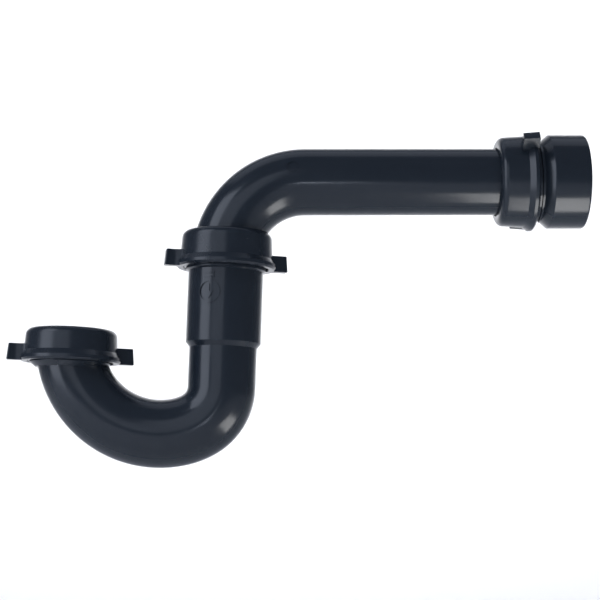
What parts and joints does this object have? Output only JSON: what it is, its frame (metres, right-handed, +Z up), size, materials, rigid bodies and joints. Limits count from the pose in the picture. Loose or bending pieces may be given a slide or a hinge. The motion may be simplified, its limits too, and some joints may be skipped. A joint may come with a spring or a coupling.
{
  "type": "p trap",
  "caption": "Tubular P-trap: elbowed waste arm, swivelling J-bend and trap adapter joined by slip-joint nuts with bevelled washers.",
  "frame": {"origin": "centre of the trap adapter's hub mouth, on the axis of the waste arm", "axes": "+X along the arm towards the drain pipe, +Z up; the trap lies in the XZ plane"},
  "size_m": [0.3277, 0.0596, 0.1906],
  "materials": {
    "black_abs": "glossy injection-moulded black ABS",
    "washer_plastic": "matt black elastomer"
  },
  "bodies": {
    "adapter": {"trap_adapter": "black_abs"},
    "arm_washer": {"arm_washer": "washer_plastic"},
    "arm_nut": {"arm_nut": "black_abs"},
    "arm": {"trap_arm": "black_abs"},
    "outlet_nut": {"outlet_nut": "black_abs"},
    "outlet_washer": {"outlet_washer": "washer_plastic"},
    "j_bend": {"j_bend": "black_abs"},
    "inlet_washer": {"inlet_washer": "washer_plastic"},
    "inlet_nut": {"inlet_nut": "black_abs"}
  },
  "joints": [
    {"name": "arm_washer_slide", "type": "slide", "parent": "adapter", "child": "arm_washer", "axis": [-1, 0, 0], "range_m": [0, 0.01325]},
    {"name": "arm_nut_turn", "type": "hinge", "parent": "arm_washer", "child": "arm_nut", "pos_m": [-0.0439, 0, 0], "axis": [-1, 0, 0], "range_deg": [0, 2165.5]},
    {"name": "arm_telescope", "type": "slide", "parent": "adapter", "child": "arm", "axis": [1, 0, 0], "range_m": [-0.012, 0.095]},
    {"name": "trap_swivel", "type": "hinge", "parent": "arm", "child": "outlet_nut", "pos_m": [-0.2045, 0, -0.0289], "axis": [-0.0384, 0, -0.9993], "continuous": true},
    {"name": "outlet_washer_slide", "type": "slide", "parent": "outlet_nut", "child": "outlet_washer", "axis": [-0.0384, 0, -0.9993], "range_m": [0, 0.01325]},
    {"name": "j_bend_unscrew", "type": "hinge", "parent": "outlet_washer", "child": "j_bend", "pos_m": [-0.2045, 0, -0.0289], "axis": [-0.0384, 0, -0.9993], "range_deg": [0, 2165.5]},
    {"name": "inlet_washer_slide", "type": "slide", "parent": "j_bend", "child": "inlet_washer", "axis": [0.0384, 0, 0.9993], "range_m": [0, 0.01325]},
    {"name": "inlet_nut_turn", "type": "hinge", "parent": "inlet_washer", "child": "inlet_nut", "pos_m": [-0.29224, 0, -0.09068], "axis": [0.0384, 0, 0.9993], "range_deg": [0, 2165.5]}
  ],
  "couplings": [
    {"joint": "arm_nut_turn", "follows": "arm_washer_slide", "rad_per_m": 2844.7},
    {"joint": "j_bend_unscrew", "follows": "outlet_washer_slide", "rad_per_m": 2844.7},
    {"joint": "inlet_nut_turn", "follows": "inlet_washer_slide", "rad_per_m": 2844.7}
  ]
}
